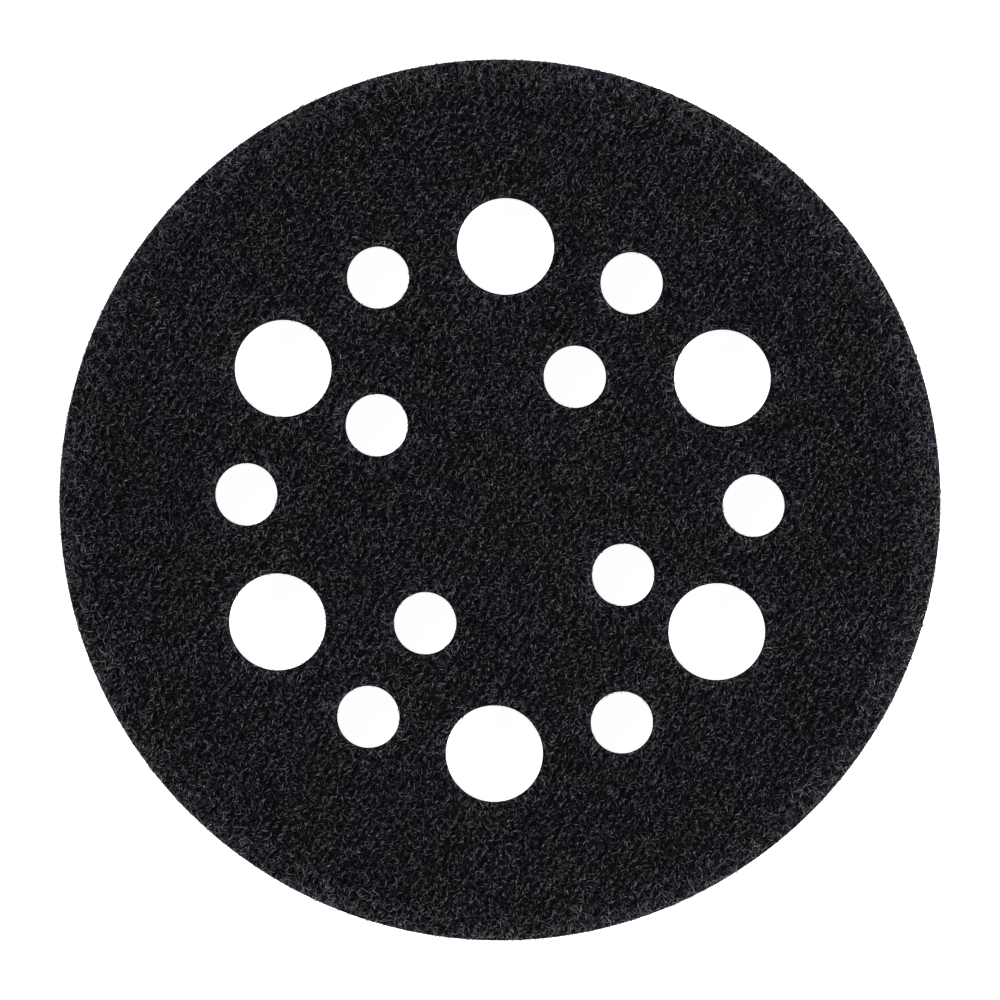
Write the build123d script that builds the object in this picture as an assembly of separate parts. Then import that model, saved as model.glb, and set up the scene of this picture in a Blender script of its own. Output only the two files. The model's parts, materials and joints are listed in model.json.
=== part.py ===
from build123d import *
import os

"""A round soft interface pad for a random-orbit sander, in millimetres.

The pad is a laminate that is die-cut to a disc. From the bottom up it holds a field of hooks, the woven
tape that carries them, a hot-melt film, the foam core, a second film, the knitted ground of the loop
fabric and the brushed pile on it. Sixteen dust holes run through every layer.
The hook tips rest on Z = 0, the pile faces +Z, and the Z axis is the axis of the disc.
"""

# The disc
PAD_DIAMETER = 127.0

# The layers, from the bottom up
HOOK_HEIGHT = 1.4
TAPE_THICKNESS = 0.5
FILM_THICKNESS = 0.1
FOAM_THICKNESS = 8.3
KNIT_THICKNESS = 0.4
PILE_HEIGHT = 1.2

# The die rounds the pile over at the rim and at each hole.
PILE_EDGE_ROUND = 0.7

# The dust holes: an outer circle where large and small holes take turns, and an inner circle of small ones
LARGE_HOLE_DIAMETER = 14.0
SMALL_HOLE_DIAMETER = 9.0
OUTER_CIRCLE_DIAMETER = 73.2
LARGE_HOLE_COUNT = 6
INNER_HOLE_COUNT = 4
LARGE_HOLE_START = 30.0

# The foam left between a large hole and the inner hole in line with it
HOLE_ROW_WEB = 4.3

# Where each layer starts
TAPE_BOTTOM = HOOK_HEIGHT
LOWER_FILM_BOTTOM = TAPE_BOTTOM + TAPE_THICKNESS
FOAM_BOTTOM = LOWER_FILM_BOTTOM + FILM_THICKNESS
UPPER_FILM_BOTTOM = FOAM_BOTTOM + FOAM_THICKNESS
KNIT_BOTTOM = UPPER_FILM_BOTTOM + FILM_THICKNESS
PILE_BOTTOM = KNIT_BOTTOM + KNIT_THICKNESS
PAD_TOP = PILE_BOTTOM + PILE_HEIGHT

# Each outer small hole stands halfway between two large ones, and one inner hole is in line with it.
OUTER_SMALL_HOLE_START = LARGE_HOLE_START + 180.0 / LARGE_HOLE_COUNT
OUTER_CIRCLE_RADIUS = OUTER_CIRCLE_DIAMETER / 2
LARGE_HOLE_RADIUS = LARGE_HOLE_DIAMETER / 2
SMALL_HOLE_RADIUS = SMALL_HOLE_DIAMETER / 2
INNER_CIRCLE_RADIUS = OUTER_CIRCLE_RADIUS - LARGE_HOLE_RADIUS - HOLE_ROW_WEB - SMALL_HOLE_RADIUS

# A round is at most this share of the layer it is cut into, so that it never uses up the layer.
ROUND_SHARE = 0.8


def hole_ring(circle_radius, hole_radius, count, start):
    """The outlines of equal holes, spaced evenly on a circle from the start angle in degrees."""
    return PolarLocations(circle_radius, count, start) * Circle(hole_radius)


def pad_outline():
    """The face that the die cuts from every layer: the disc without its dust holes."""
    outline = Sketch() + Circle(PAD_DIAMETER / 2)
    outline -= hole_ring(OUTER_CIRCLE_RADIUS, LARGE_HOLE_RADIUS, LARGE_HOLE_COUNT, LARGE_HOLE_START)
    outline -= hole_ring(OUTER_CIRCLE_RADIUS, SMALL_HOLE_RADIUS, LARGE_HOLE_COUNT, OUTER_SMALL_HOLE_START)
    outline -= hole_ring(INNER_CIRCLE_RADIUS, SMALL_HOLE_RADIUS, INNER_HOLE_COUNT, OUTER_SMALL_HOLE_START)
    return outline


def layer(bottom, thickness):
    """One flat layer of the laminate, cut square through."""
    return Pos(0, 0, bottom) * extrude(pad_outline(), thickness)


def hook_field():
    """The space the hooks fill, from their tips on Z = 0 up to the tape they are woven into."""
    return layer(0, HOOK_HEIGHT)


def hook_tape_ground():
    """The woven nylon tape under the foam."""
    return layer(TAPE_BOTTOM, TAPE_THICKNESS)


def lower_adhesive_film():
    """The hot-melt film between the hook tape and the foam."""
    return layer(LOWER_FILM_BOTTOM, FILM_THICKNESS)


def foam_core():
    """The open-cell foam that lets the abrasive follow a curved surface."""
    return layer(FOAM_BOTTOM, FOAM_THICKNESS)


def upper_adhesive_film():
    """The hot-melt film between the foam and the loop fabric."""
    return layer(UPPER_FILM_BOTTOM, FILM_THICKNESS)


def loop_ground_knit():
    """The knitted ground of the loop fabric."""
    return layer(KNIT_BOTTOM, KNIT_THICKNESS)


def loop_pile():
    """The brushed loops on top, rounded over where the die has cut them."""
    pile = layer(PILE_BOTTOM, PILE_HEIGHT)
    cut_edges = pile.edges().group_by(Axis.Z)[-1]
    return fillet(cut_edges, min(PILE_EDGE_ROUND, ROUND_SHARE * PILE_HEIGHT))


SUB_PARTS = {
    "hook_field": hook_field,
    "hook_tape_ground": hook_tape_ground,
    "lower_adhesive_film": lower_adhesive_film,
    "foam_core": foam_core,
    "upper_adhesive_film": upper_adhesive_film,
    "loop_ground_knit": loop_ground_knit,
    "loop_pile": loop_pile,
}


def main():
    """Writes each sub-part to its own file."""
    os.makedirs("parts", exist_ok=True)
    for name, make in SUB_PARTS.items():
        export_step(make(), os.path.join("parts", name + ".step"))
    print(f"pad height {PAD_TOP:.2f} mm, inner circle diameter {2 * INNER_CIRCLE_RADIUS:.2f} mm")


main()
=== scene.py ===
# Dresses a soft interface pad for a random-orbit sander: pile, knit, films, foam, tape and hooks.

import json
import math

import bpy
import numpy as np
from bpy.props import FloatProperty, FloatVectorProperty, IntProperty, PointerProperty
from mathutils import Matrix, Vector
from mathutils.geometry import delaunay_2d_cdt

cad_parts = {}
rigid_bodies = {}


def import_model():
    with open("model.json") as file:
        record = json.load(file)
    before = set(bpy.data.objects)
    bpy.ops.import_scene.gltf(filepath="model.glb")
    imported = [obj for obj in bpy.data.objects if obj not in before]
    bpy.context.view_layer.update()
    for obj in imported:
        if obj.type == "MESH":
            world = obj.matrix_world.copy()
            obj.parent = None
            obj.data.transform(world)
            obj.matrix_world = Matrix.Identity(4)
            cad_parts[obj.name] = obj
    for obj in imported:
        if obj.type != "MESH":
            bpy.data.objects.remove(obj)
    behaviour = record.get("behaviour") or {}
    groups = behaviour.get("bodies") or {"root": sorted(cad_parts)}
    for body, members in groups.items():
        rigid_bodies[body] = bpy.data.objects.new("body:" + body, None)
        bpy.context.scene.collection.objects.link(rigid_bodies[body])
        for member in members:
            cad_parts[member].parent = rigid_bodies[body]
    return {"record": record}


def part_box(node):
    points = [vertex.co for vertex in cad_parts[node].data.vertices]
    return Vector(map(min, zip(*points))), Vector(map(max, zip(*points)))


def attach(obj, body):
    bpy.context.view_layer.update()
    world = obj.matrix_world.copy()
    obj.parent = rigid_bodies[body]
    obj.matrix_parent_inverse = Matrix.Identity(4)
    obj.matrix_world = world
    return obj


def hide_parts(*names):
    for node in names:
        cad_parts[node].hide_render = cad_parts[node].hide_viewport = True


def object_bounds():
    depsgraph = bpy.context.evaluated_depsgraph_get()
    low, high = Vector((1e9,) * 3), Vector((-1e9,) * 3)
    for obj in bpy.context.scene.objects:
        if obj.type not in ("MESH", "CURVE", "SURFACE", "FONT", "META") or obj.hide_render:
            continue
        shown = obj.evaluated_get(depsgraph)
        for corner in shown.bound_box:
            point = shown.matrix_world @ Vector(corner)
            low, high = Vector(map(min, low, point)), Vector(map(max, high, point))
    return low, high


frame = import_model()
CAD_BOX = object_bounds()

bl_info = {
    "name": "Sander Interface Pad",
    "version": (1, 0, 0),
    "blender": (4, 5, 0),
    "location": "View3D > Sidebar > Pad",
    "description": "Makes the visible layers of a soft hook-and-loop interface pad",
    "category": "Add Mesh",
}

MM = 0.001
TURN = 2 * math.pi
BODY = "root"
MOTTLE = "Dye mottle"
PLANT = "Plant shapes on points"

# How finely the shapes are divided. Each layer's points have one spacing inside it and one at its cut edges.
FIBRE_RINGS = 2
LOOP_RINGS = 4
FOAM_WALL_ROWS = 26
FEWEST_SIDES = 24
EDGE_GROWTH = 1.6
FOAM_SPACING = (2.4 * MM, 0.3 * MM)
FILM_SPACING = (3.0 * MM, 0.7 * MM)
KNIT_SPACING = (1.0 * MM, 0.4 * MM)
TAPE_SPACING = (1.7 * MM, 0.45 * MM)

# How many different fibres, loops and so on a tree has to choose from
FIBRE_SHAPES = 40
LOOP_SHAPES = 16

# How close to a cut edge the loops and the hooks may stand
LOOP_MARGIN = 0.35 * MM
HOOK_MARGIN = 0.75 * MM
HOOK_STRAY = 0.06 * MM

LOOP_HEIGHT = 0.95 * MM

# The brush lays this share of the fibres back along the nap, and gathers them over the rows by this share
# of the wale pitch.
LAID_BACK = 0.4
GATHERED = 0.16

# The die takes each fibre off this far inside the cut, and leaves at least this share of its first step.
CUT_SHORT = 0.08 * MM
LEAST_KEPT = 0.4

# Where the fringe starts and how far in it is rooted, in mm
FRINGE_START = 0.1
RIM_FRINGE_REACH = 4.4
HOLE_FRINGE_REACH = 2.4


# ------------------------------------------------------------------ the frame's sizes

def dust_holes():
    """The centre and radius of every dust hole, as rows of x, y and radius."""
    record = frame["record"]
    radius = {m["name"]: m["dims"]["hole_r_mm"] * MM for m in record["mounts"] if "hole_r_mm" in m["dims"]}
    rows = []
    for opening in record["physics"]["openings"]:
        group = opening["name"].rsplit("_", 1)[0] + "s"
        low, high = np.array(opening["box_m"])
        x, y = (low[:2] + high[:2]) / 2
        rows.append((x, y, radius[group]))
    return np.array(rows)


HOLES = dust_holes()
RIM = (CAD_BOX[1].y - CAD_BOX[0].y) / 2
TAPE_BOTTOM, TAPE_TOP = (corner.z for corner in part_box("hook_tape_ground"))
FOAM_BOTTOM, FOAM_TOP = (corner.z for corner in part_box("foam_core"))
KNIT_BOTTOM, KNIT_TOP = (corner.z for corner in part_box("loop_ground_knit"))
PAD_TOP = CAD_BOX[1].z


# ------------------------------------------------------------------ what a user may change

class PadShape(bpy.types.PropertyGroup):
    """How the die and the cutting press have left the laminate."""

    rim_press: FloatProperty(
        name="Rim press", description="How far the die presses the rim down",
        default=1.2 * MM, min=0, max=3 * MM, unit="LENGTH", precision=5)
    rim_reach: FloatProperty(
        name="Rim reach", description="How far in from the rim the press dies away",
        default=2.6 * MM, min=0.1 * MM, max=10 * MM, unit="LENGTH", precision=5)
    hole_press: FloatProperty(
        name="Hole press", description="How far the punches press each hole's edge down",
        default=0.5 * MM, min=0, max=3 * MM, unit="LENGTH", precision=5)
    hole_reach: FloatProperty(
        name="Hole reach", description="How far out from a hole the press dies away",
        default=1.6 * MM, min=0.1 * MM, max=10 * MM, unit="LENGTH", precision=5)
    waist: FloatProperty(
        name="Waist", description="How far the cut foam pulls in halfway up its wall",
        default=0.3 * MM, min=0, max=2 * MM, unit="LENGTH", precision=5)
    unevenness: FloatProperty(
        name="Unevenness", description="Height of the slow waves in the loop face",
        default=0.035 * MM, min=0, max=1 * MM, unit="LENGTH", precision=5)


class PileLook(bpy.types.PropertyGroup):
    """The brushed loop face."""

    wale_pitch: FloatProperty(
        name="Wale pitch", description="Distance from one row of loops to the next",
        default=1.18 * MM, min=0.5 * MM, max=5 * MM, unit="LENGTH", precision=5)
    course_pitch: FloatProperty(
        name="Course pitch", description="Distance from one loop to the next along a row",
        default=1.0 * MM, min=0.4 * MM, max=5 * MM, unit="LENGTH", precision=5)
    wale_angle: FloatProperty(
        name="Wale angle", description="Direction of the rows, counted from +X",
        default=math.radians(59.3), subtype="ANGLE")
    nap_angle: FloatProperty(
        name="Nap angle", description="Direction that the brush has laid the fibres in",
        default=math.radians(57), subtype="ANGLE")
    nap_spread: FloatProperty(
        name="Nap spread", description="How far single fibres stray from the nap",
        default=math.radians(60), subtype="ANGLE")
    fibre_width: FloatProperty(
        name="Fibre width", description="Thickness of one brushed fibre",
        default=0.11 * MM, min=0.02 * MM, max=0.5 * MM, unit="LENGTH", precision=6)
    loop_width: FloatProperty(
        name="Loop yarn width", description="Thickness of the yarn in an unbrushed loop",
        default=0.17 * MM, min=0.05 * MM, max=0.8 * MM, unit="LENGTH", precision=6)
    fibre_length: FloatProperty(
        name="Fibre length", description="Mean length of a brushed fibre",
        default=0.96 * MM, min=0.5 * MM, max=6 * MM, unit="LENGTH", precision=5)
    layers: IntProperty(
        name="Fibre layers", description="How many brushed layers are laid over each other",
        default=8, min=1, max=8)
    fibres_per_layer: IntProperty(
        name="Fibres in a layer", description="Number of fibres in each layer",
        default=11400, min=100, max=16000)
    colour: FloatVectorProperty(
        name="Pile colour", description="Dyed nylon in the pile, where it lies in shade",
        default=(0.0090, 0.0085, 0.0160), size=3, subtype="COLOR", min=0, max=1)
    # The shine colour is a painted highlight: fibres with a high tone get it, many times brightened, in place
    # of light caught on them.
    shine: FloatVectorProperty(
        name="Pile shine", description="The greyer tone of the fibres that catch the light",
        default=(0.0112, 0.0109, 0.0140), size=3, subtype="COLOR", min=0, max=1)
    # The fringe colour is a painted highlight: it makes the combed-out fibres at the rim and the holes
    # brighter, where the light catches the edge.
    fringe_painted_highlight: FloatVectorProperty(
        name="Fringe shine", description="The tone of the combed-out fibres at the rim and the holes",
        default=(0.0115, 0.0113, 0.0128), size=3, subtype="COLOR", min=0, max=1)
    knit_colour: FloatVectorProperty(
        name="Knit colour", description="Dyed nylon of the knitted ground",
        default=(0.0085, 0.0081, 0.0115), size=3, subtype="COLOR", min=0, max=1)
    rim_fibres: IntProperty(
        name="Rim fringe fibres", description="Number of combed-out fibres round the rim",
        default=7400, min=0, max=12000)
    hole_fibres: IntProperty(
        name="Hole fringe fibres", description="Combed-out fibres round a hole, for each mm of its radius",
        default=38, min=0, max=200)
    pale_flecks: IntProperty(
        name="Pale flecks", description="Number of stray pale flecks of lint", default=30, min=1, max=500)
    rusty_flecks: IntProperty(
        name="Rusty flecks", description="Number of stray rusty flecks of lint", default=14, min=1, max=500)


class CoreLook(bpy.types.PropertyGroup):
    """The foam core."""

    cell: FloatProperty(
        name="Cell size", description="Distance across one cell of the foam",
        default=0.8 * MM, min=0.2 * MM, max=5 * MM, unit="LENGTH", precision=5)
    cell_depth: FloatProperty(
        name="Cell depth", description="How deep the cut leaves an open cell",
        default=0.22 * MM, min=0, max=2 * MM, unit="LENGTH", precision=5)
    colour: FloatVectorProperty(
        name="Foam colour", description="Dyed polyurethane of the foam",
        default=(0.036, 0.036, 0.039), size=3, subtype="COLOR", min=0, max=1)
    film_colour: FloatVectorProperty(
        name="Film colour", description="Hot-melt film on both faces of the foam",
        default=(0.03, 0.028, 0.026), size=3, subtype="COLOR", min=0, max=1)


class HookLook(bpy.types.PropertyGroup):
    """The hook tape."""

    row_pitch: FloatProperty(
        name="Row pitch", description="Distance from one row of hooks to the next",
        default=1.65 * MM, min=0.8 * MM, max=5 * MM, unit="LENGTH", precision=5)
    hook_pitch: FloatProperty(
        name="Hook pitch", description="Distance from one hook to the next in a row",
        default=1.25 * MM, min=0.6 * MM, max=5 * MM, unit="LENGTH", precision=5)
    filament: FloatProperty(
        name="Filament", description="Thickness of the hook's nylon filament",
        default=0.2 * MM, min=0.05 * MM, max=0.6 * MM, unit="LENGTH", precision=6)
    colour: FloatVectorProperty(
        name="Hook colour", description="Dyed nylon of the hooks",
        default=(0.016, 0.016, 0.017), size=3, subtype="COLOR", min=0, max=1)
    tape_colour: FloatVectorProperty(
        name="Tape colour", description="Dyed nylon of the woven tape",
        default=(0.012, 0.012, 0.013), size=3, subtype="COLOR", min=0, max=1)


# ------------------------------------------------------------------ small helpers

def smooth_step(low, high, value):
    """0 below low, 1 above high, and a smooth turn between."""
    t = np.clip((value - low) / (high - low), 0, 1)
    return t * t * (3 - 2 * t)


def edge_distances(xy):
    """Distance from points to the rim and to the nearest hole, both positive inside the material."""
    to_rim = RIM - np.hypot(xy[:, 0], xy[:, 1])
    gaps = np.hypot(xy[:, None, 0] - HOLES[:, 0], xy[:, None, 1] - HOLES[:, 1]) - HOLES[:, 2]
    return to_rim, gaps.min(1)


def depth_in(xy):
    """Distance from points to the nearest cut edge, positive inside the material."""
    return np.minimum(*edge_distances(xy))


def pressed(xy, shape):
    """How far below its flat height the top of the laminate lies."""
    to_rim, to_hole = edge_distances(xy)
    rim = shape.rim_press * np.exp(-(np.maximum(to_rim, 0) / shape.rim_reach) ** 1.2)
    hole = shape.hole_press * np.exp(-np.maximum(to_hole, 0) / shape.hole_reach)
    x, y = xy[:, 0], xy[:, 1]
    waves = np.sin(x / 0.0071 + 1.3) * np.sin(y / 0.0093 + 0.4) + 0.6 * np.sin((x - y) / 0.0048 + 2.0)
    return rim + hole + shape.unevenness * (1 + waves / 1.6)


def level(z):
    """A flat height, for a layer's face."""
    return lambda xy: np.full(len(xy), z)


def under(z, shape):
    """A height that follows the press, for a layer's face."""
    return lambda xy: z - pressed(xy, shape)


def rows_and_columns(pitch):
    """Whole numbers i and j of a square grid that covers the pad at this pitch."""
    reach = math.ceil(RIM / pitch) + 1
    i, j = np.meshgrid(np.arange(-reach, reach + 1), np.arange(-reach, reach + 1), indexing="ij")
    return i.ravel(), j.ravel()


def shade(colour, amount):
    """A colour made darker or lighter, ready for a socket."""
    return (*[c * amount for c in colour], 1)


def new_mesh(name, points, faces):
    """A mesh object at the origin."""
    mesh = bpy.data.meshes.new(name)
    mesh.from_pydata(np.asarray(points).tolist(), [], [tuple(f) for f in faces])
    mesh.validate()
    mesh.polygons.foreach_set("use_smooth", [True] * len(mesh.polygons))
    mesh.update()
    return bpy.data.objects.new(name, mesh)


def show(piece, material, slot, *stands_for):
    """Puts a finished piece in the scene, on the pad's one body."""
    if piece.name not in bpy.context.scene.collection.objects:
        bpy.context.scene.collection.objects.link(piece)
    if material is not None:
        piece.data.materials.clear()
        piece.data.materials.append(material)
    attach(piece, BODY)
    if stands_for:
        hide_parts(*stands_for)
    return piece


# ------------------------------------------------------------------ the die-cut outline

def circle_points(x, y, radius, spacing):
    """Points round a circle, anticlockwise."""
    count = max(FEWEST_SIDES, round(TURN * radius / spacing))
    angles = np.arange(count) * TURN / count
    return np.stack([x + radius * np.cos(angles), y + radius * np.sin(angles)], 1)


def cut_edges(spacing, inset=0.0):
    """The rim and then each hole as rings of points, moved into the material by the inset."""
    rings = [circle_points(0, 0, RIM - inset, spacing)]
    rings += [circle_points(x, y, r + inset, spacing) for x, y, r in HOLES]
    return rings


def outline_mesh(spacing, edge_spacing):
    """The outline filled with triangles: its points, its triangles and each ring's point numbers.

    Further rings follow each cut edge inwards, wider apart each time, and lose their points where another edge
    is nearer. A lattice fills the rest.
    """
    rings = cut_edges(edge_spacing)
    row = spacing * math.sqrt(3) / 2
    reach = math.ceil(RIM / row)
    lattice = np.array([((i + 0.5 * (j % 2)) * spacing, j * row)
                        for j in range(-reach, reach + 1) for i in range(-reach, reach + 1)])
    inner, inset, step = [], 0.0, edge_spacing
    while step < spacing:
        inset += step
        step *= EDGE_GROWTH
        inner += [ring[depth_in(ring) > 0.9 * inset] for ring in cut_edges(step, inset)]
    inner.insert(0, lattice[depth_in(lattice) > inset + 0.5 * spacing])
    points = np.concatenate(rings + inner)
    edges, numbers, start = [], [], 0
    for ring in rings:
        index = np.arange(start, start + len(ring))
        numbers.append(index)
        edges += list(zip(index.tolist(), np.roll(index, -1).tolist(), strict=True))
        start += len(ring)
    made = delaunay_2d_cdt([Vector(p) for p in points.tolist()], edges, [], 0, 1e-9)
    if len(made[0]) != len(points):
        raise RuntimeError("the outline's rings cross, so its triangles can't be numbered")
    triangles = np.array(made[2])
    corner = points[triangles]
    middle = corner.mean(1)
    inside = depth_in(middle) > 0
    triangles, corner = triangles[inside], corner[inside]
    a, b = corner[:, 1] - corner[:, 0], corner[:, 2] - corner[:, 0]
    clockwise = a[:, 0] * b[:, 1] - a[:, 1] * b[:, 0] < 0
    triangles[clockwise] = triangles[clockwise][:, ::-1]
    return points, triangles, numbers


def slab(name, plan, low, high, rows, wall):
    """A closed layer. low and high give heights at points; wall moves the points of each cut edge.

    wall(xy, z, share, ring, outward) returns new points for a ring of the wall at a share of its height.
    """
    points, triangles, rings = plan
    count = len(points)
    top = np.column_stack([points, high(points)])
    bottom = np.column_stack([points, low(points)])
    stack = [top, bottom]
    faces = [triangles, triangles[:, ::-1] + count]
    start = 2 * count
    for number, ring in enumerate(rings):
        edge = points[ring]
        centre = np.zeros(2) if number == 0 else HOLES[number - 1][:2]
        side = 1.0 if number == 0 else -1.0
        outward = side * (edge - centre) / np.linalg.norm(edge - centre, axis=1)[:, None]
        lines = [ring]
        for k in range(1, rows):
            share = k / rows
            z = top[ring, 2] * (1 - share) + bottom[ring, 2] * share
            stack.append(wall(edge, z, share, number, outward))
            lines.append(np.arange(start, start + len(ring)))
            start += len(ring)
        lines.append(ring + count)
        for upper, lower in zip(lines[:-1], lines[1:], strict=True):
            after_upper, after_lower = np.roll(upper, -1), np.roll(lower, -1)
            quads = np.stack([upper, lower, after_lower, after_upper], 1)
            if side < 0:
                quads = quads[:, ::-1]
            faces += [quads[:, [0, 1, 2]], quads[:, [0, 2, 3]]]
    return new_mesh(name, np.concatenate(stack), np.concatenate(faces))


def straight_wall(xy, z, share, ring, outward):
    """A wall cut square through."""
    return np.column_stack([xy, z])


# ------------------------------------------------------------------ shapes that are repeated

def tube(points, widths, sides=3, pointed=True):
    """Points and faces of a closed tube along a path. Pointed ends meet in one point, others are capped."""
    path = np.asarray(points, float)
    ahead = np.gradient(path, axis=0)
    ahead /= np.linalg.norm(ahead, axis=1)[:, None]
    side = np.cross(ahead, (0.13, 0.21, 1.0))
    side /= np.linalg.norm(side, axis=1)[:, None]
    up = np.cross(side, ahead)
    angles = np.arange(sides) * TURN / sides
    around = np.cos(angles)[:, None, None] * side + np.sin(angles)[:, None, None] * up
    rings = (path + around * np.asarray(widths)[None, :, None] / 2).transpose(1, 0, 2)
    if pointed:
        rings = rings[1:-1]
    body = rings.reshape(-1, 3)
    faces = []
    for k in range(len(rings) - 1):
        for j in range(sides):
            after = (j + 1) % sides
            a, b = k * sides + j, k * sides + after
            faces.append((a, a + sides, b + sides, b))
    last = (len(rings) - 1) * sides
    if not pointed:
        faces.append(tuple(range(sides)))
        faces.append(tuple(last + j for j in reversed(range(sides))))
        return body, faces
    first_tip, last_tip = len(body), len(body) + 1
    for j in range(sides):
        after = (j + 1) % sides
        faces.append((first_tip, j, after))
        faces.append((last_tip, last + after, last + j))
    return np.concatenate([body, path[:1], path[-1:]]), faces


def cut_at_edges(mesh, rings, past):
    """Shortens each fibre of a planted mesh so that it ends at the die's cut, or up to past beyond it."""
    each = 3 * rings + 2
    flat = np.empty(3 * len(mesh.vertices), np.float32)
    mesh.vertices.foreach_get("co", flat)
    fibres = flat.reshape(-1, each, 3).astype(float)
    body = fibres[:, :3 * rings].reshape(-1, rings, 3, 3)
    centres = np.concatenate([fibres[:, None, -2], body.mean(2), fibres[:, None, -1]], 1)
    around = body - centres[:, 1:-1, None]
    rng = np.random.default_rng(3)
    spare = past * rng.random(len(fibres)) ** 2 - CUT_SHORT
    gap = depth_in(centres[:, :, :2].reshape(-1, 2)).reshape(len(fibres), -1) + spare[:, None]
    beyond = gap < 0
    row = np.arange(len(fibres))
    first = np.where(beyond.any(1), beyond.argmax(1), rings + 1)
    before = np.maximum(first - 1, 0)
    from_gap, to_gap = gap[row, before], gap[row, first]
    crossing = before + np.clip(from_gap / np.where(from_gap > to_gap, from_gap - to_gap, 1), 0, 1)
    kept = np.where(beyond.any(1), np.maximum(crossing, LEAST_KEPT), rings + 1)
    at = np.linspace(0, 1, rings + 2) * kept[:, None]
    low = np.minimum(at.astype(int), rings)
    part = (at - low)[:, :, None]
    moved = centres[row[:, None], low] * (1 - part) + centres[row[:, None], low + 1] * part
    fibres[:, :3 * rings] = (around + moved[:, 1:-1, None]).reshape(len(fibres), -1, 3)
    fibres[:, -2], fibres[:, -1] = moved[:, 0], moved[:, -1]
    mesh.vertices.foreach_set("co", fibres.astype(np.float32).ravel())
    mesh.update()


def shape_set(name, makers):
    """A collection of shapes for a tree to choose from, kept out of the scene."""
    group = bpy.data.collections.new(name)
    for number, (points, faces) in enumerate(makers):
        group.objects.link(new_mesh(f"{name}_{number:02d}", points, faces))
    return group


def drop_shape_set(group):
    """Removes a set once its tree has run."""
    for shape in list(group.objects):
        mesh = shape.data
        bpy.data.objects.remove(shape)
        bpy.data.meshes.remove(mesh)
    bpy.data.collections.remove(group)


def brushed_fibre(rng, length, width, arch, curl):
    """One fibre that the brush has pulled out: it wanders along +X and dips in and out of the pile."""
    steps = FIBRE_RINGS + 1
    heading = rng.normal(0, 0.3)
    bend = rng.normal(0, curl)
    at = np.zeros(2)
    path = [at.copy()]
    for _ in range(steps):
        heading += bend + rng.normal(0, 0.5 * curl)
        at += length / steps * np.array([math.cos(heading), math.sin(heading)])
        path.append(at.copy())
    share = np.linspace(0, 1, steps + 1)
    waves, start = rng.uniform(0.45, 1.3), rng.uniform(-0.5, 0.25) * math.pi
    z = arch * (0.5 + 0.5 * np.sin(start + TURN * waves * share)) * smooth_step(-0.3, 0.3, share)
    widths = width * np.interp(share, (0, 0.2, 0.7, 1), (0.7, 1.05, 1.0, 0.6))
    return tube(np.column_stack([path, z]), widths)


def yarn_loop(rng, length, width, height):
    """One unbrushed loop: an arch of yarn that leans along +X."""
    share = np.linspace(0, 1, LOOP_RINGS + 2)
    x = length * (share - 0.15 * np.sin(np.pi * share)) + 0.25 * height * np.sin(np.pi * share)
    sway, twist = rng.normal(0, 0.16), rng.normal(0, 0.12)
    y = sway * length * np.sin(np.pi * share) + twist * length * np.sin(TURN * share)
    z = height * np.sin(np.pi * share) ** 0.75 - 0.1 * height
    widths = np.full(LOOP_RINGS + 2, width) * rng.uniform(0.85, 1.15)
    return tube(np.column_stack([x - length / 2, y, z]), widths)


def tape_hook(filament, height):
    """One hook of bent filament, standing downwards from z = 0 and turned over towards +X."""
    reach = 0.46 * height
    drop = filament / 2
    path = [(0, 0, 0.15 * height), (0.02 * reach, 0, -0.52 * height),
            (0.14 * reach, 0, -0.84 * height + drop), (0.55 * reach, 0, -height + drop),
            (0.98 * reach, 0, -0.84 * height + drop), (1.1 * reach, 0, -0.55 * height)]
    return tube(path, np.full(len(path), filament), pointed=False)


# ------------------------------------------------------------------ geometry trees

def tree_with(name, sockets):
    """An empty geometry tree with a geometry input and output and these named inputs."""
    tree = bpy.data.node_groups.new(name, "GeometryNodeTree")
    face = tree.interface
    face.new_socket("Geometry", in_out="INPUT", socket_type="NodeSocketGeometry")
    for label, kind, default in sockets:
        socket = face.new_socket(label, in_out="INPUT", socket_type=kind)
        if default is not None:
            socket.default_value = default
    face.new_socket("Geometry", in_out="OUTPUT", socket_type="NodeSocketGeometry")
    return tree


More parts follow.
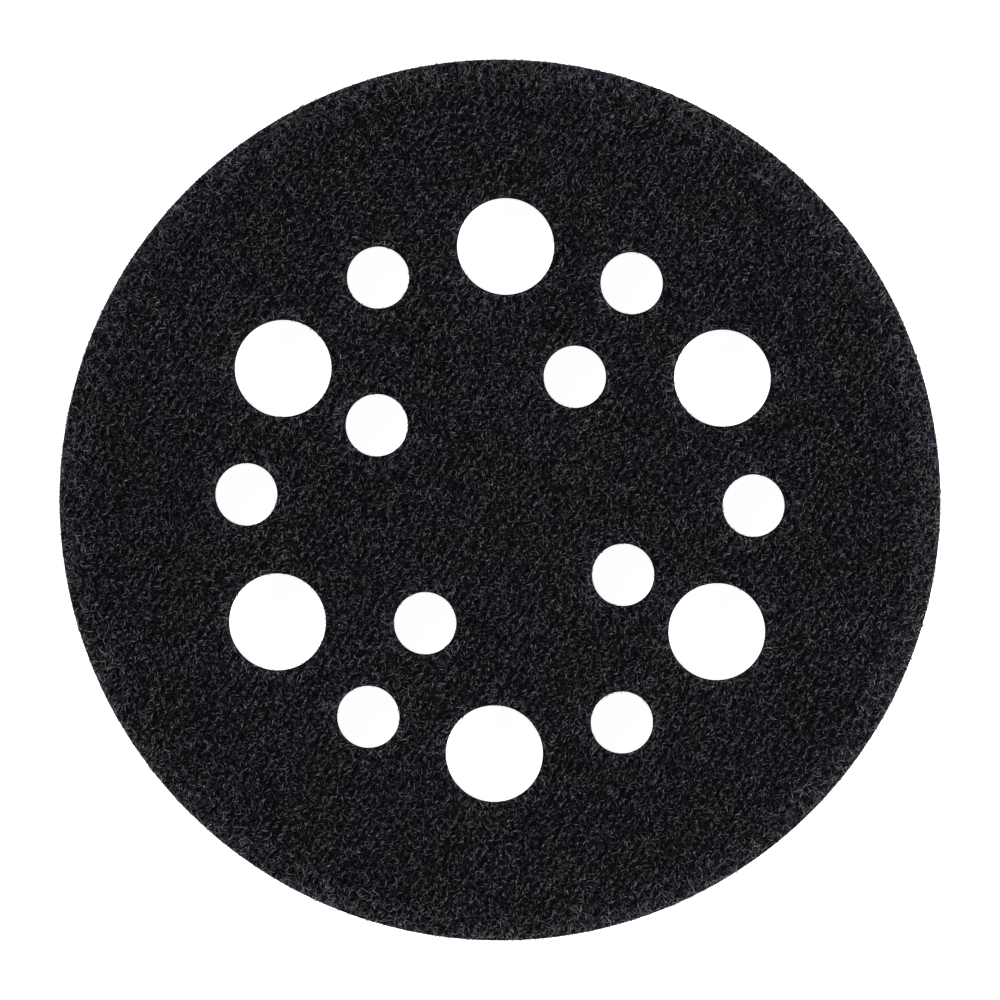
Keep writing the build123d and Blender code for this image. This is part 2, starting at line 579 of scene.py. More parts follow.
class Wiring:
    """Adds nodes to a tree and links them, one line for each node."""

    def __init__(self, tree):
        self.tree = tree
        self.start = tree.nodes.new("NodeGroupInput") if tree.bl_idname == "GeometryNodeTree" else None

    def add(self, kind, links=None, **settings):
        """A node with its settings, and its inputs linked or set by name or number."""
        node = self.tree.nodes.new(kind)
        for key, value in settings.items():
            setattr(node, key, value)
        for key, value in (links or {}).items():
            if isinstance(value, bpy.types.NodeSocket):
                self.tree.links.new(value, node.inputs[key])
            else:
                node.inputs[key].default_value = value
        return node

    def given(self, label):
        """One of the tree's own inputs."""
        return self.start.outputs[label]

    def math(self, operation, first, second, **settings):
        """The result of a sum on two numbers."""
        return self.add("ShaderNodeMath", {0: first, 1: second}, operation=operation, **settings).outputs[0]

    def ramp(self, value, seen=(0, 1), given=(0, 1)):
        """A number taken from one range to another."""
        return self.add("ShaderNodeMapRange", {"Value": value, "From Min": seen[0], "From Max": seen[1],
                                               "To Min": given[0], "To Max": given[1]}).outputs[0]

    def blend(self, factor, first, second, **settings):
        """A colour between two, or their product."""
        return self.add("ShaderNodeMix", {"Factor": factor, "A": first, "B": second}, data_type="RGBA",
                        **settings).outputs[2]

    def noise(self, place, scale, detail, **more):
        """The value of a noise texture."""
        return self.add("ShaderNodeTexNoise", {
            "Vector": place, "Scale": scale, "Detail": detail, **more}).outputs[0]

    def place(self):
        """Where a point lies on the pad, in metres."""
        return self.add("ShaderNodeTexCoord").outputs["Object"]

    def feed(self, shader, **sockets):
        """Links what varies over the surface to the shader."""
        for key, value in sockets.items():
            self.tree.links.new(value, shader.inputs[key.replace("_", " ")])

    def bump(self, shader, height, strength, distance):
        """Raises the surface by a height, in metres."""
        self.feed(shader, Normal=self.add("ShaderNodeBump", {
            "Height": height, "Strength": strength, "Distance": distance}).outputs[0])


def plant_tree():
    """Sets one shape on each point, turned by the point's turn attribute plus a random part."""
    if PLANT in bpy.data.node_groups:
        return bpy.data.node_groups[PLANT]
    tree = tree_with(PLANT, [
        ("Shapes", "NodeSocketCollection", None),
        ("Turn Spread", "NodeSocketFloat", 0.0),
        ("Tilt Spread", "NodeSocketFloat", 0.0),
        ("Smallest", "NodeSocketVector", (1.0, 1.0, 1.0)),
        ("Largest", "NodeSocketVector", (1.0, 1.0, 1.0)),
        ("Seed", "NodeSocketInt", 1),
        ("Material", "NodeSocketMaterial", None),
    ])
    w = Wiring(tree)

    def attribute(label, kind):
        node = w.add("GeometryNodeInputNamedAttribute", {"Name": label}, data_type=kind)
        return node.outputs["Attribute"]

    def chance(kind, low, high, shift):
        """A random value for each point. Which sockets it is set by and read from goes by its kind."""
        least, most, result = {"FLOAT_VECTOR": (0, 1, 0), "FLOAT": (2, 3, 1), "INT": (4, 5, 2)}[kind]
        seed = w.math("ADD", w.given("Seed"), float(shift))
        node = w.add("FunctionNodeRandomValue", {least: low, most: high, "Seed": seed}, data_type=kind)
        return node.outputs[result]

    def spread(socket, shift):
        return chance("FLOAT", w.math("MULTIPLY", socket, -1.0), socket, shift)

    yaw = w.math("ADD", attribute("turn", "FLOAT"), spread(w.given("Turn Spread"), 1))
    tilt = w.given("Tilt Spread")
    euler = w.add("ShaderNodeCombineXYZ", {"X": spread(tilt, 2), "Y": spread(tilt, 3), "Z": yaw}).outputs[0]
    rotation = w.add("FunctionNodeEulerToRotation", {0: euler}).outputs[0]
    aligned = w.add("FunctionNodeAlignRotationToVector", {
        "Rotation": rotation, "Vector": attribute("lean", "FLOAT_VECTOR")}, axis="Z")
    scale = chance("FLOAT_VECTOR", w.given("Smallest"), w.given("Largest"), 4)
    pick = chance("INT", 0, 100000, 5)
    shapes = w.add("GeometryNodeCollectionInfo", {"Collection": w.given("Shapes"), "Separate Children": True,
                                                  "Reset Children": True})
    points = w.add("GeometryNodeMeshToPoints", {"Mesh": w.given("Geometry")}, mode="VERTICES")
    placed = w.add("GeometryNodeInstanceOnPoints", {
        "Points": points.outputs[0], "Instance": shapes.outputs[0], "Pick Instance": True,
        "Instance Index": pick, "Rotation": aligned.outputs[0], "Scale": scale})
    stored = w.add("GeometryNodeStoreNamedAttribute", {
        "Geometry": placed.outputs[0], "Name": "tone", "Value": chance("FLOAT", 0.0, 1.0, 6)},
        data_type="FLOAT", domain="INSTANCE")
    real = w.add("GeometryNodeRealizeInstances", {"Geometry": stored.outputs[0]})
    painted = w.add("GeometryNodeSetMaterial", {"Geometry": real.outputs[0], "Material": w.given("Material")})
    out = tree.nodes.new("NodeGroupOutput")
    tree.links.new(painted.outputs[0], out.inputs[0])
    return tree


def marks(points, turn, lean):
    """A mesh of loose points that carry how a shape on each of them stands."""
    mesh = bpy.data.meshes.new("marks")
    mesh.vertices.add(len(points))
    mesh.vertices.foreach_set("co", np.asarray(points, np.float32).ravel())
    mesh.attributes.new("turn", "FLOAT", "POINT").data.foreach_set("value", np.asarray(turn, np.float32))
    mesh.attributes.new("lean", "FLOAT_VECTOR", "POINT").data.foreach_set(
        "vector", np.asarray(lean, np.float32).ravel())
    mesh.update()
    return mesh


def planted(name, mesh, tree, inputs):
    """Runs a tree on a mesh and returns the result as a plain mesh object."""
    holder = bpy.data.objects.new("holder", mesh)
    bpy.context.scene.collection.objects.link(holder)
    modifier = holder.modifiers.new("Plant", "NODES")
    modifier.node_group = tree
    for item in tree.interface.items_tree:
        if item.item_type == "SOCKET" and item.in_out == "INPUT" and item.name in inputs:
            modifier[item.identifier] = inputs[item.name]
    bpy.context.view_layer.update()
    ready = holder.evaluated_get(bpy.context.evaluated_depsgraph_get())
    result = bpy.data.meshes.new_from_object(ready)
    result.name = name
    bpy.data.objects.remove(holder)
    bpy.data.meshes.remove(mesh)
    if not len(result.polygons):
        raise RuntimeError(f"{name} came out empty")
    result.polygons.foreach_set("use_smooth", [True] * len(result.polygons))
    result.materials.clear()
    result.materials.append(inputs["Material"])
    result.polygons.foreach_set("material_index", [0] * len(result.polygons))
    return bpy.data.objects.new(name, result)


# ------------------------------------------------------------------ materials

def dressed(name, colour, roughness, build=None, **fixed):
    """A material around one Principled shader. build(wiring, shader) adds the nodes that vary over it."""
    material = bpy.data.materials.new(name)
    material.use_nodes = True
    tree = material.node_tree
    shader = next(n for n in tree.nodes if n.type == "BSDF_PRINCIPLED")
    shader.inputs["Base Color"].default_value = (*colour, 1)
    shader.inputs["Roughness"].default_value = roughness
    for key, value in fixed.items():
        shader.inputs[key.replace("_", " ")].default_value = value
    if build:
        build(Wiring(tree), shader)
    return material


def mottle_group():
    """Shared: changes of tone over dyed nylon between two colours, and patches of a cooler tint."""
    if MOTTLE in bpy.data.node_groups:
        return bpy.data.node_groups[MOTTLE]
    group = bpy.data.node_groups.new(MOTTLE, "ShaderNodeTree")
    face = group.interface
    for label, kind, default in (
            ("Dark", "NodeSocketColor", (0, 0, 0, 1)), ("Light", "NodeSocketColor", (1, 1, 1, 1)),
            ("Warm Tint", "NodeSocketColor", (0.95, 0.95, 0.855, 1)),
            ("Cool Tint", "NodeSocketColor", (0.955, 0.935, 1.0, 1)),
            ("Patch Scale", "NodeSocketFloat", 150.0), ("Grain Scale", "NodeSocketFloat", 1400.0),
            ("Tone", "NodeSocketFloat", 0.5)):
        face.new_socket(label, in_out="INPUT", socket_type=kind).default_value = default
    face.new_socket("Color", in_out="OUTPUT", socket_type="NodeSocketColor")
    face.new_socket("Value", in_out="OUTPUT", socket_type="NodeSocketFloat")
    w = Wiring(group)
    given = group.nodes.new("NodeGroupInput").outputs
    place = w.place()
    patch = w.noise(place, given["Patch Scale"], 2.0)
    grain = w.noise(place, given["Grain Scale"], 1.0)
    slow = w.ramp(w.math("ADD", patch, grain), (0.6, 1.4), (-0.02, 0.02))
    skewed = w.math("POWER", given["Tone"], 2.2)
    share = w.math("ADD", slow, skewed, use_clamp=True)
    # In the pile, Light is a painted highlight colour and Tone picks the fibres that carry it.
    colour = w.blend(share, given["Dark"], given["Light"])
    cool = w.ramp(w.noise(place, 120.0, 2.0, Lacunarity=2.3), (0.44, 0.56))
    cast = w.blend(cool, given["Warm Tint"], given["Cool Tint"])
    tinted = w.blend(1.0, colour, cast, blend_type="MULTIPLY")
    out = group.nodes.new("NodeGroupOutput")
    group.links.new(tinted, out.inputs["Color"])
    group.links.new(share, out.inputs["Value"])
    return group


def add_mottle(w, colour, dark, light, tone=None, shine=None, **scales):
    """Places the shared mottle in a material, with its own values. Returns its outputs."""
    node = w.tree.nodes.new("ShaderNodeGroup")
    node.node_tree = mottle_group()
    if shine is None:
        node.inputs["Warm Tint"].default_value = (1, 0.99, 0.97, 1)
        node.inputs["Cool Tint"].default_value = (0.97, 0.98, 1, 1)
    node.inputs["Dark"].default_value = shade(colour, dark)
    # For the pile this Light colour is a painted highlight.
    node.inputs["Light"].default_value = shade(shine or colour, light)
    for key, value in scales.items():
        node.inputs[key.replace("_", " ")].default_value = value
    if tone is not None:
        w.tree.links.new(tone, node.inputs["Tone"])
    return node.outputs


def pile_material(name, look, dark=0.22, light=6.0, shine=None):
    """Brushed nylon fibre: each fibre has a random tone of its own, from the dye's blue-black to a greyer
    painted highlight, as if the fibre caught the light.
    """
    def build(w, shader):
        tone = w.add("ShaderNodeAttribute", attribute_name="tone").outputs["Fac"]
        dye = add_mottle(w, look.colour, dark, light, tone, shine or look.shine)
        # Base Color runs from the dark dye to the painted highlight by each fibre's tone.
        w.feed(shader, Base_Color=dye["Color"], Roughness=w.ramp(dye["Value"], given=(0.65, 0.34)),
               Coat_Weight=dye["Value"])
    return dressed(name, look.colour, 0.5, build, Specular_IOR_Level=0.06, Coat_IOR=1.8, Coat_Roughness=0.38)


def lint_material(name, colour):
    """A stray fleck of household lint, darker and lighter along its length."""
    def build(w, shader):
        along = w.noise(w.place(), 2500.0, 2.0)
        w.feed(shader, Base_Color=w.blend(along, shade(colour, 0.3), shade(colour, 1.6)))
    return dressed(name, colour, 0.7, build)


def knit_material(colour, pile):
    """The knitted ground: rows of stitches under a mat of fibres that lie along the nap, with painted shade in
    the low gaps between strands and rows.
    """
    def build(w, shader):
        dye = add_mottle(w, colour, 0.8, 1.6, shine=colour)
        place = w.place()
        rows = w.add("ShaderNodeMapping", {"Vector": place, "Rotation": (0, 0, -pile.wale_angle)}).outputs[0]
        rib = w.add("ShaderNodeTexWave", {"Vector": rows, "Scale": math.pi / (10 * pile.wale_pitch),
                                          "Distortion": 0.6, "Detail": 1.0}, bands_direction="Y").outputs[1]
        nap = w.add("ShaderNodeMapping", {"Vector": place, "Rotation": (0, 0, -pile.nap_angle)}).outputs[0]
        combed = w.add("ShaderNodeMapping", {"Vector": nap, "Scale": (1, 4.5, 1)}).outputs[0]
        strand = w.ramp(w.noise(combed, 900.0, 2.0, Distortion=1.2), (0.42, 0.66))
        height = w.math("MULTIPLY", strand, w.ramp(rib, given=(0.45, 1)))
        # Painted shade: the colour falls to a third where the strands and rows are low.
        w.feed(shader, Base_Color=w.blend(height, shade(colour, 0.3), dye["Color"]))
        w.bump(shader, height, 0.8, 0.2 * MM)
    return dressed("black_knit_ground", colour, 0.8, build, Specular_IOR_Level=0.05)


def foam_material(colour, cell):
    """Open-cell foam: painted shade darkens the cut cells, most in the deepest pits, and the struts between
    them keep the paler foam colour, in two sizes of cell.
    """
    def build(w, shader):
        dye = add_mottle(w, colour, 0.9, 1.4, Grain_Scale=2600.0)
        place = w.place()
        struts = []
        for size, width in ((cell, 0.14), (0.42 * cell, 0.17)):
            edge = w.add("ShaderNodeTexVoronoi", {"Vector": place, "Scale": 1 / size},
                         feature="DISTANCE_TO_EDGE").outputs[0]
            struts.append(w.ramp(edge, (0.03, width), (1, 0)))
        solid = w.math("MAXIMUM", *struts)
        pit = w.add("ShaderNodeAttribute", attribute_name="pit").outputs["Fac"]
        # Painted shade: the cells are darkened, and the deeper the pit the darker.
        lit = w.math("MULTIPLY", solid, w.ramp(pit, given=(1, 0.45)))
        w.feed(shader, Base_Color=w.blend(lit, shade(colour, 0.12), dye["Color"]))
        w.bump(shader, solid, 1.0, 0.25 * MM)
    return dressed("charcoal_open_cell_foam", colour, 0.9, build, Specular_IOR_Level=0.2)


def film_material(colour):
    """Hot-melt film, with a fine mottle in its colour and its roughness."""
    def build(w, shader):
        dye = add_mottle(w, colour, 0.5, 1.6, Patch_Scale=600.0, Grain_Scale=3000.0)
        w.feed(shader, Base_Color=dye["Color"], Roughness=w.ramp(dye["Value"], given=(0.25, 0.5)))
    return dressed("hot_melt_film", colour, 0.35, build)


def tape_material(colour):
    """Woven nylon tape: warp and weft show as a fine plain weave, with painted shade in the low gaps between
    the yarns.
    """
    def build(w, shader):
        dye = add_mottle(w, colour, 0.6, 1.3)
        place = w.place()
        yarns = [w.add("ShaderNodeTexWave", {"Vector": place, "Scale": scale}, bands_direction=way).outputs[1]
                 for scale, way in ((500.0, "X"), (650.0, "Y"))]
        weave = w.math("MULTIPLY", *yarns)
        # Painted shade: the colour falls to 0.35 of the dye where the weave is low.
        w.feed(shader, Base_Color=w.blend(weave, shade(colour, 0.35), dye["Color"]))
        w.bump(shader, weave, 0.7, 0.1 * MM)
    return dressed("black_woven_tape", colour, 0.7, build, Specular_IOR_Level=0.35)


def hook_material(colour):
    """Nylon monofilament: satin, with a lighter shade on some hooks."""
    def build(w, shader):
        tone = w.add("ShaderNodeAttribute", attribute_name="tone").outputs["Fac"]
        dye = add_mottle(w, colour, 0.7, 1.6, tone)
        w.feed(shader, Base_Color=dye["Color"], Roughness=w.ramp(dye["Value"], given=(0.25, 0.45)))
    return dressed("black_hook_filament", colour, 0.35, build)


# ------------------------------------------------------------------ the pieces

def foam_cells(points, size, rng_seed=5):
    """How deep each point lies in an open cell, from 0 on a strut to 1, for cells spread at random.

    The three whole numbers of a cell's place are mixed into one, which gives its centre and its depth.
    """
    cell = np.floor(points / size).astype(np.int64)
    nearest = np.full(len(points), 1e9)
    second = np.full(len(points), 1e9)
    depth = np.zeros(len(points))
    for shift in np.ndindex(3, 3, 3):
        other = cell + np.array(shift) - 1
        mixed = (other * np.array([73856093, 19349663, 83492791])).sum(1) ^ (rng_seed * 2654435761)
        spot, part = [], mixed & 0xFFFFFFFF
        for _ in range(4):
            part = (part * 1664525 + 1013904223) & 0xFFFFFFFF
            spot.append(part / 2 ** 32)
        centre = (other + np.stack(spot[:3], 1)) * size
        far = np.linalg.norm(points - centre, axis=1)
        closer = far < nearest
        second = np.where(closer, nearest, np.minimum(second, far))
        depth = np.where(closer, spot[3], depth)
        nearest = np.where(closer, far, nearest)
    return smooth_step(0.06, 0.4, (second - nearest) / size) * (0.35 + 0.65 * depth)


def make_foam_core(settings):
    """The foam: crowned by the die at the rim and the holes, waisted between, with cut cells on its walls."""
    shape, core = settings.pad_shape, settings.pad_core
    plan = outline_mesh(*FOAM_SPACING)
    pits = []

    def wall(xy, z, share, ring, outward):
        points = np.column_stack([xy, z])
        depth = foam_cells(points, core.cell)
        pits.append(depth)
        inward = shape.waist * math.sin(math.pi * share) * (1 if ring == 0 else 0.5) + core.cell_depth * depth
        points[:, :2] -= outward * inward[:, None]
        return points

    piece = slab("foam_cushion", plan, level(FOAM_BOTTOM), under(FOAM_TOP, shape), FOAM_WALL_ROWS, wall)
    pit = np.zeros(len(piece.data.vertices), np.float32)
    pit[2 * len(plan[0]):] = np.concatenate(pits)
    # pit drives the painted shade in the foam material as well.
    piece.data.attributes.new("pit", "FLOAT", "POINT").data.foreach_set("value", pit)
    show(piece, foam_material(core.colour, core.cell), "foam", "foam_core")


def make_layer(name, low, high, rows, plan, material, slot, stands_for):
    """One thin layer that follows the pressed foam."""
    piece = slab(name, plan, low, high, rows, straight_wall)
    return show(piece, material, slot, stands_for)


def even_points(rng, count, margin):
    """Points spread evenly but not in rows over the outline, at least margin in from each cut edge."""
    area = math.pi * (RIM ** 2 - (HOLES[:, 2] ** 2).sum())
    pitch = math.sqrt(area / count)
    grid = np.column_stack(rows_and_columns(pitch))
    turn = rng.uniform(0, TURN)
    grid = grid + rng.uniform(-0.6, 0.6, grid.shape)
    points = pitch * grid @ np.array([[math.cos(turn), math.sin(turn)], [-math.sin(turn), math.cos(turn)]])
    return points[depth_in(points) > margin]


def surface_normal(xy, shape):
    """Normals of the pressed loop face."""
    step = 0.05 * MM
    dx = (pressed(xy + (step, 0), shape) - pressed(xy - (step, 0), shape)) / (2 * step)
    dy = (pressed(xy + (0, step), shape) - pressed(xy - (0, step), shape)) / (2 * step)
    normal = np.column_stack([dx, dy, np.ones(len(xy))])
    return normal / np.linalg.norm(normal, axis=1)[:, None]


class Step:
    """What the pad's operators share."""

    bl_options = {"REGISTER", "UNDO"}


class PAD_OT_foam_core(Step, bpy.types.Operator):
    """Makes the foam core"""

    bl_idname = "pad.foam_core"
    bl_label = "Foam core"

    def execute(self, context):
        make_foam_core(context.scene)
        return {"FINISHED"}


class PAD_OT_films(Step, bpy.types.Operator):
    """Makes the two hot-melt films"""

    bl_idname = "pad.films"
    bl_label = "Adhesive films"

    def execute(self, context):
        scene = context.scene
        shape = scene.pad_shape
        plan = outline_mesh(*FILM_SPACING)
        film = film_material(scene.pad_core.film_colour)
        make_layer("upper_film", under(FOAM_TOP, shape), under(KNIT_BOTTOM, shape), 1, plan, film,
                   "adhesive", "upper_adhesive_film")
        make_layer("lower_film", level(TAPE_TOP), level(FOAM_BOTTOM), 1, plan, film,
                   "adhesive", "lower_adhesive_film")
        return {"FINISHED"}


class PAD_OT_loop_ground(Step, bpy.types.Operator):
    """Makes the knitted ground of the loop fabric"""

    bl_idname = "pad.loop_ground"
    bl_label = "Loop ground"

    def execute(self, context):
        scene = context.scene
        shape, pile = scene.pad_shape, scene.pad_pile
        plan = outline_mesh(*KNIT_SPACING)
        make_layer("knit_ground", under(KNIT_BOTTOM, shape), under(KNIT_TOP, shape), 3, plan,
                   knit_material(pile.knit_colour, pile), "loop_knit", "loop_ground_knit")
        return {"FINISHED"}


class PAD_OT_yarn_loops(Step, bpy.types.Operator):
    """Sets the rows of unbrushed loops"""

    bl_idname = "pad.yarn_loops"
    bl_label = "Yarn loops"

    def execute(self, context):
        scene = context.scene
        shape, pile = scene.pad_shape, scene.pad_pile
        rng = np.random.default_rng(21)
        i, j = rows_and_columns(min(pile.wale_pitch, pile.course_pitch))
        along = (i + 0.5 * (j % 2)) * pile.course_pitch
        across = j * pile.wale_pitch
        along = along + rng.normal(0, 0.16 * pile.course_pitch, len(along))
        across = across + rng.normal(0, 0.08 * pile.wale_pitch, len(across))
        c, s = math.cos(pile.wale_angle), math.sin(pile.wale_angle)
        xy = np.column_stack([along * c - across * s, along * s + across * c])
        xy = xy[depth_in(xy) > LOOP_MARGIN]
        loops = shape_set("yarn_loop", [yarn_loop(rng, pile.course_pitch, pile.loop_width, LOOP_HEIGHT)
                                        for _ in range(LOOP_SHAPES)])
        # The loops carry the same painted highlight on some of them, weaker.
        material = pile_material("black_pile_yarn", pile, 0.2, 3.4)
        for part in range(2):
            mine = xy[part::2]
            z = KNIT_TOP - pressed(mine, shape)
            mesh = marks(np.column_stack([mine, z]), np.full(len(mine), pile.wale_angle),
                         surface_normal(mine, shape))
            piece = planted(f"yarn_loops_{part + 1}", mesh, plant_tree(), {
                "Shapes": loops, "Turn Spread": 0.85, "Tilt Spread": 0.25, "Smallest": (0.8, 0.8, 0.75),
                "Largest": (1.3, 1.15, 1.2), "Seed": 31 + 10 * part, "Material": material})
            cut_at_edges(piece.data, LOOP_RINGS, 0.1 * MM)
            show(piece, None, "loop_pile")
        drop_shape_set(loops)
        return {"FINISHED"}


def plant_fibres(name, settings, rng, xy, turn, height, arch, spread, seed, material, longer=1.0, finer=1.0):
    """One layer of brushed fibres: these start points, this direction and this height above the knit."""
    shape, pile = settings.pad_shape, settings.pad_pile
    length, width = longer * pile.fibre_length, finer * pile.fibre_width
    fibres = shape_set("brushed_fibre", [brushed_fibre(rng, length, width, arch, 0.3)
                                         for _ in range(FIBRE_SHAPES)])
    z = KNIT_TOP - pressed(xy, shape) + height
    mesh = marks(np.column_stack([xy, z]), turn, surface_normal(xy, shape))
    piece = planted(name, mesh, plant_tree(), {
        "Shapes": fibres, "Turn Spread": spread, "Tilt Spread": 0.15, "Smallest": (0.5, 0.75, 0.6),
        "Largest": (1.2, 1.2, 1.15), "Seed": seed, "Material": material})
    cut_at_edges(piece.data, FIBRE_RINGS, 0.3 * MM)
    show(piece, None, "loop_pile")
    drop_shape_set(fibres)
    return piece


class PAD_OT_brushed_fibres(Step, bpy.types.Operator):
    """Lays the brushed fibres over the loops, layer by layer"""

    bl_idname = "pad.brushed_fibres"
    bl_label = "Brushed fibres"

    def execute(self, context):
        scene = context.scene
        pile = scene.pad_pile
        rng = np.random.default_rng(7)
        # Fibres with a high tone carry a painted highlight.
        material = pile_material("black_brushed_fibre", pile)
        for layer in range(pile.layers):
            share = layer / max(1, pile.layers - 1)
            xy = even_points(rng, pile.fibres_per_layer, 0.05 * MM)
            across = -xy[:, 0] * math.sin(pile.wale_angle) + xy[:, 1] * math.cos(pile.wale_angle)
            xy -= GATHERED * pile.wale_pitch * np.sin(TURN * across / pile.wale_pitch)[:, None] * (
                -math.sin(pile.wale_angle), math.cos(pile.wale_angle))
            turn = np.full(len(xy), pile.nap_angle) + math.pi * (rng.random(len(xy)) < LAID_BACK)
            height, arch = (0.05 + 0.4 * share) * MM, (0.34 + 0.2 * share) * MM
            piece = plant_fibres(f"brushed_fibres_{layer + 1}", scene, rng, xy, turn, height, arch,
                                 pile.nap_spread, 101 + 10 * layer, material)
            if layer == 0:
                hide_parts("loop_pile")
        return {"FINISHED"}


class PAD_OT_rim_fringe(Step, bpy.types.Operator):
    """Combs longer fibres outwards over the rim and the holes' edges, coloured with a painted highlight"""

    bl_idname = "pad.rim_fringe"
    bl_label = "Rim fringe"

    def execute(self, context):
        scene = context.scene
        pile = scene.pad_pile
        rng = np.random.default_rng(41)
        angle = rng.uniform(0, TURN, pile.rim_fibres)
        radius = RIM - (FRINGE_START + RIM_FRINGE_REACH * rng.random(len(angle)) ** 2.0) * MM
        rim = np.column_stack([radius * np.cos(angle), radius * np.sin(angle)])
        points, turns = [rim], [angle]
        for x, y, r in HOLES:
            angle = rng.uniform(0, TURN, round(pile.hole_fibres * r / MM))
            away = r + (FRINGE_START + HOLE_FRINGE_REACH * rng.random(len(angle)) ** 1.5) * MM
            points.append(np.column_stack([x + away * np.cos(angle), y + away * np.sin(angle)]))
            turns.append(angle + math.pi)
        # Painted highlight: the fringe fibres' dark and light ends are set far brighter than the pile's, for
        # the lighter band that the light gives the rim and the holes' edges.
        material = pile_material("fringe_fibre_painted_highlight", pile, 1.6, 11.8, pile.fringe_painted_highlight)
        plant_fibres("rim_fringe", scene, rng, np.concatenate(points), np.concatenate(turns), 0.5 * MM,
                     0.4 * MM, 0.9, 401, material, longer=1.5, finer=0.95)
        return {"FINISHED"}


class PAD_OT_lint(Step, bpy.types.Operator):
    """Drops a few pale flecks of lint into the pile"""

    bl_idname = "pad.lint"
    bl_label = "Lint"

    def execute(self, context):
        scene = context.scene
        pile = scene.pad_pile
        rng = np.random.default_rng(53)
        for name, count, colour in (("pale_lint", pile.pale_flecks, (0.16, 0.15, 0.14)),
                                    ("rusty_lint", pile.rusty_flecks, (0.12, 0.045, 0.035))):
            xy = even_points(rng, count, 1.5 * MM)
            turn = rng.uniform(0, TURN, len(xy))
            plant_fibres(name, scene, rng, xy, turn, 0.75 * MM, 0.2 * MM, 0.5, 501 + count,
                         lint_material(name, colour), longer=0.5)
        return {"FINISHED"}


class PAD_OT_hook_tape(Step, bpy.types.Operator):
    """Makes the woven tape and the hooks under it"""

    bl_idname = "pad.hook_tape"
    bl_label = "Hook tape"

    def execute(self, context):
        scene = context.scene
        look = scene.pad_hooks
        plan = outline_mesh(*TAPE_SPACING)
        make_layer("woven_tape", level(TAPE_BOTTOM), level(TAPE_TOP), 3, plan,
                   tape_material(look.tape_colour), "hook_tape", "hook_tape_ground")
        rng = np.random.default_rng(13)
        i, j = rows_and_columns(look.hook_pitch)
        xy = np.column_stack([j * look.row_pitch, (i + 0.5 * (j % 2)) * look.hook_pitch])
        xy += rng.normal(0, HOOK_STRAY, xy.shape)
        inside = depth_in(xy) > HOOK_MARGIN
        xy, row = xy[inside], j[inside]
        hooks = shape_set("tape_hook", [tape_hook(look.filament, TAPE_BOTTOM)])
        material = hook_material(look.colour)
        for part, side in enumerate((0.0, math.pi)):
            mine = xy[row % 2 == part]
            mesh = marks(np.column_stack([mine, np.full(len(mine), TAPE_BOTTOM)]), np.full(len(mine), side),
                         np.tile([0.0, 0.0, 1.0], (len(mine), 1)))
            piece = planted(f"tape_hooks_{part + 1}", mesh, plant_tree(), {
                "Shapes": hooks, "Turn Spread": 0.35, "Tilt Spread": 0.06, "Smallest": (0.95, 0.95, 0.94),
                "Largest": (1.05, 1.05, 0.99), "Seed": 77 + 10 * part, "Material": material})
            show(piece, None, "hook_yarn", *(("hook_field",) if part == 0 else ()))
        drop_shape_set(hooks)
        return {"FINISHED"}


class PAD_OT_declare(Step, bpy.types.Operator):
    """An empty step: it changes nothing in the scene"""

    bl_idname = "pad.declare"
    bl_label = "Declare the cloth"

    def execute(self, context):
        return {"FINISHED"}


class PAD_OT_stage(Step, bpy.types.Operator):
    """Makes the floor, the lights and the camera"""

    bl_idname = "pad.stage"
    bl_label = "Stage"

    def execute(self, context):
        make_floor()
        make_lights(context.scene)
        make_camera(context.scene)
        return {"FINISHED"}


def make_floor():
    """A wide pale floor that glows a little, like a lit sweep, and is clear from below."""
    half = 20.0
    corners = [(-half, -half, 0), (half, -half, 0), (half, half, 0), (-half, half, 0)]
    floor = new_mesh("floor", corners, [(0, 1, 2, 3)])
    bpy.context.scene.collection.objects.link(floor)

    def build(w, shader):
        below = w.add("ShaderNodeNewGeometry").outputs["Backfacing"]
        clear = w.add("ShaderNodeBsdfTransparent").outputs[0]
        either = w.add("ShaderNodeMixShader", {0: below, 1: shader.outputs[0], 2: clear}).outputs[0]
        output = next(n for n in w.tree.nodes if n.type == "OUTPUT_MATERIAL")
        w.tree.links.new(either, output.inputs["Surface"])

    sweep = dressed("lit_white_sweep", (0.8, 0.8, 0.8), 1.0, build, Specular_IOR_Level=0.0,
                    Emission_Color=(1, 1, 1, 1), Emission_Strength=0.96)
    floor.data.materials.append(sweep)


def make_lights(scene):
    """A dim even surround, a soft key light from the lower right and a weaker one from the upper left."""
    world = bpy.data.worlds.new("pale studio")
    scene.world = world
    world.use_nodes = True
    sky = next(n for n in world.node_tree.nodes if n.type == "BACKGROUND")
    sky.inputs["Color"].default_value = (1, 1, 1, 1)
    sky.inputs["Strength"].default_value = 0.1
    for name, size, energy, place in (("key_light", 0.5, 31.0, (1.0, -0.35, 1.0)),
                                      ("fill_light", 0.8, 13.0, (-0.7, 0.6, 1.1))):
        light = bpy.data.lights.new(name, "AREA")
        light.shape = "DISK"
        light.size = size
        light.energy = energy
        lamp = bpy.data.objects.new(name, light)
        lamp.location = place
        lamp.rotation_euler = (-Vector(place)).to_track_quat("-Z", "Y").to_euler()
        scene.collection.objects.link(lamp)
    scene.view_settings.view_transform = "Standard"


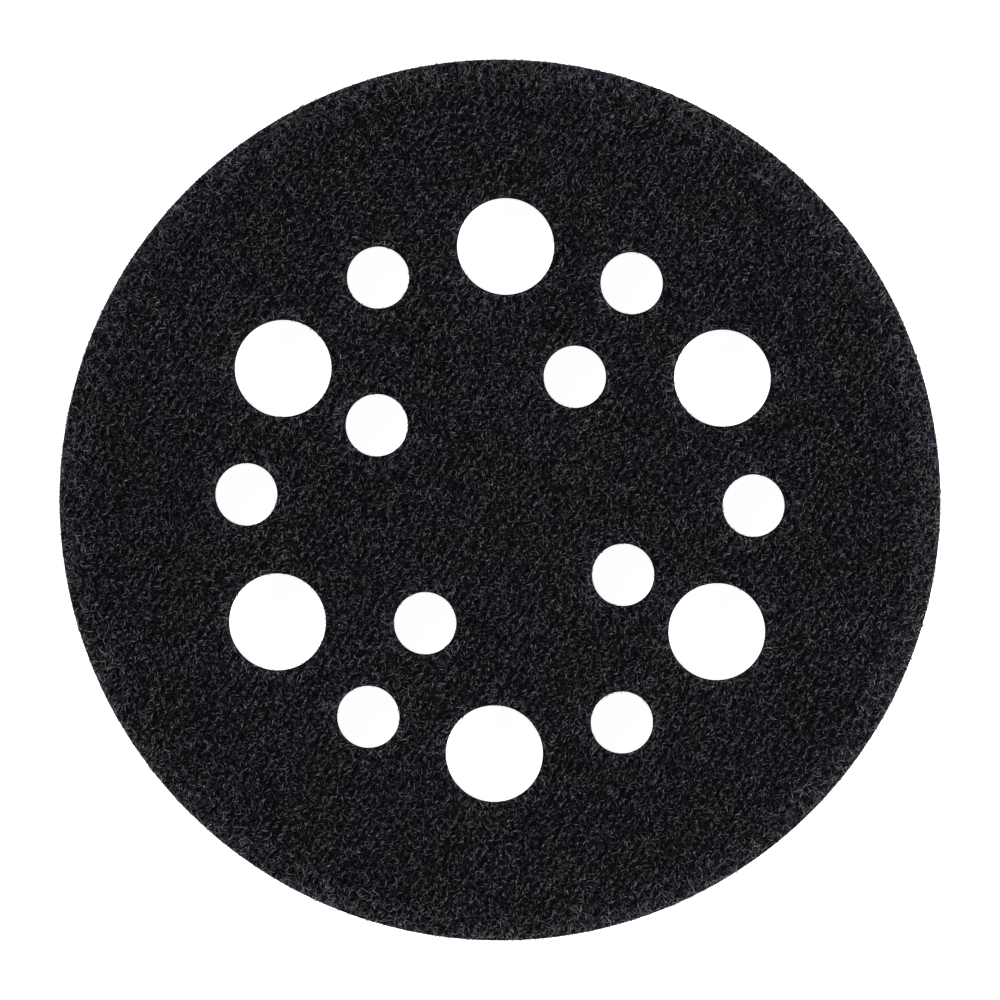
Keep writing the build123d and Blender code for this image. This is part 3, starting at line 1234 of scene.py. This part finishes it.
def make_camera(scene):
    """Straight above the loop face, far off, and turned a little anticlockwise."""
    field = 144.0 * MM
    data = bpy.data.cameras.new("camera")
    data.lens = 800.0
    data.sensor_width = 36.0
    away = field * data.lens / data.sensor_width
    data.clip_start, data.clip_end = 0.1, 50.0
    camera = bpy.data.objects.new("camera", data)
    camera.location = (0, 0, PAD_TOP + away)
    camera.rotation_euler = (0, 0, math.radians(1.27))
    scene.collection.objects.link(camera)
    scene.camera = camera


class PAD_PT_panel(bpy.types.Panel):
    """The pad's sizes, colours and steps"""

    bl_idname = "PAD_PT_panel"
    bl_label = "Interface pad"
    bl_space_type = "VIEW_3D"
    bl_region_type = "UI"
    bl_category = "Pad"

    def draw(self, context):
        for name in GROUPS:
            box = self.layout.box()
            group = getattr(context.scene, name)
            for key in group.bl_rna.properties.keys():
                if key not in {"rna_type", "name"}:
                    box.prop(group, key)
        for step in STEPS:
            self.layout.operator(step.bl_idname)


GROUPS = {"pad_shape": PadShape, "pad_pile": PileLook, "pad_core": CoreLook, "pad_hooks": HookLook}
STEPS = (PAD_OT_foam_core, PAD_OT_films, PAD_OT_loop_ground, PAD_OT_yarn_loops, PAD_OT_brushed_fibres,
         PAD_OT_rim_fringe, PAD_OT_lint, PAD_OT_hook_tape, PAD_OT_declare, PAD_OT_stage)


def register():
    for name, group in GROUPS.items():
        bpy.utils.register_class(group)
        setattr(bpy.types.Scene, name, PointerProperty(type=group))
    for cls in (*STEPS, PAD_PT_panel):
        bpy.utils.register_class(cls)


def unregister():
    for cls in reversed((*STEPS, PAD_PT_panel)):
        bpy.utils.unregister_class(cls)
    for name, group in GROUPS.items():
        delattr(bpy.types.Scene, name)
        bpy.utils.unregister_class(group)


def main():
    register()
    bpy.ops.pad.stage()
    bpy.ops.pad.foam_core()
    bpy.ops.pad.films()
    bpy.ops.pad.loop_ground()
    bpy.ops.pad.yarn_loops()
    bpy.ops.pad.brushed_fibres()
    bpy.ops.pad.rim_fringe()
    bpy.ops.pad.lint()
    bpy.ops.pad.hook_tape()
    bpy.ops.pad.declare()
    bpy.context.view_layer.update()


if __name__ == "__main__":
    main()
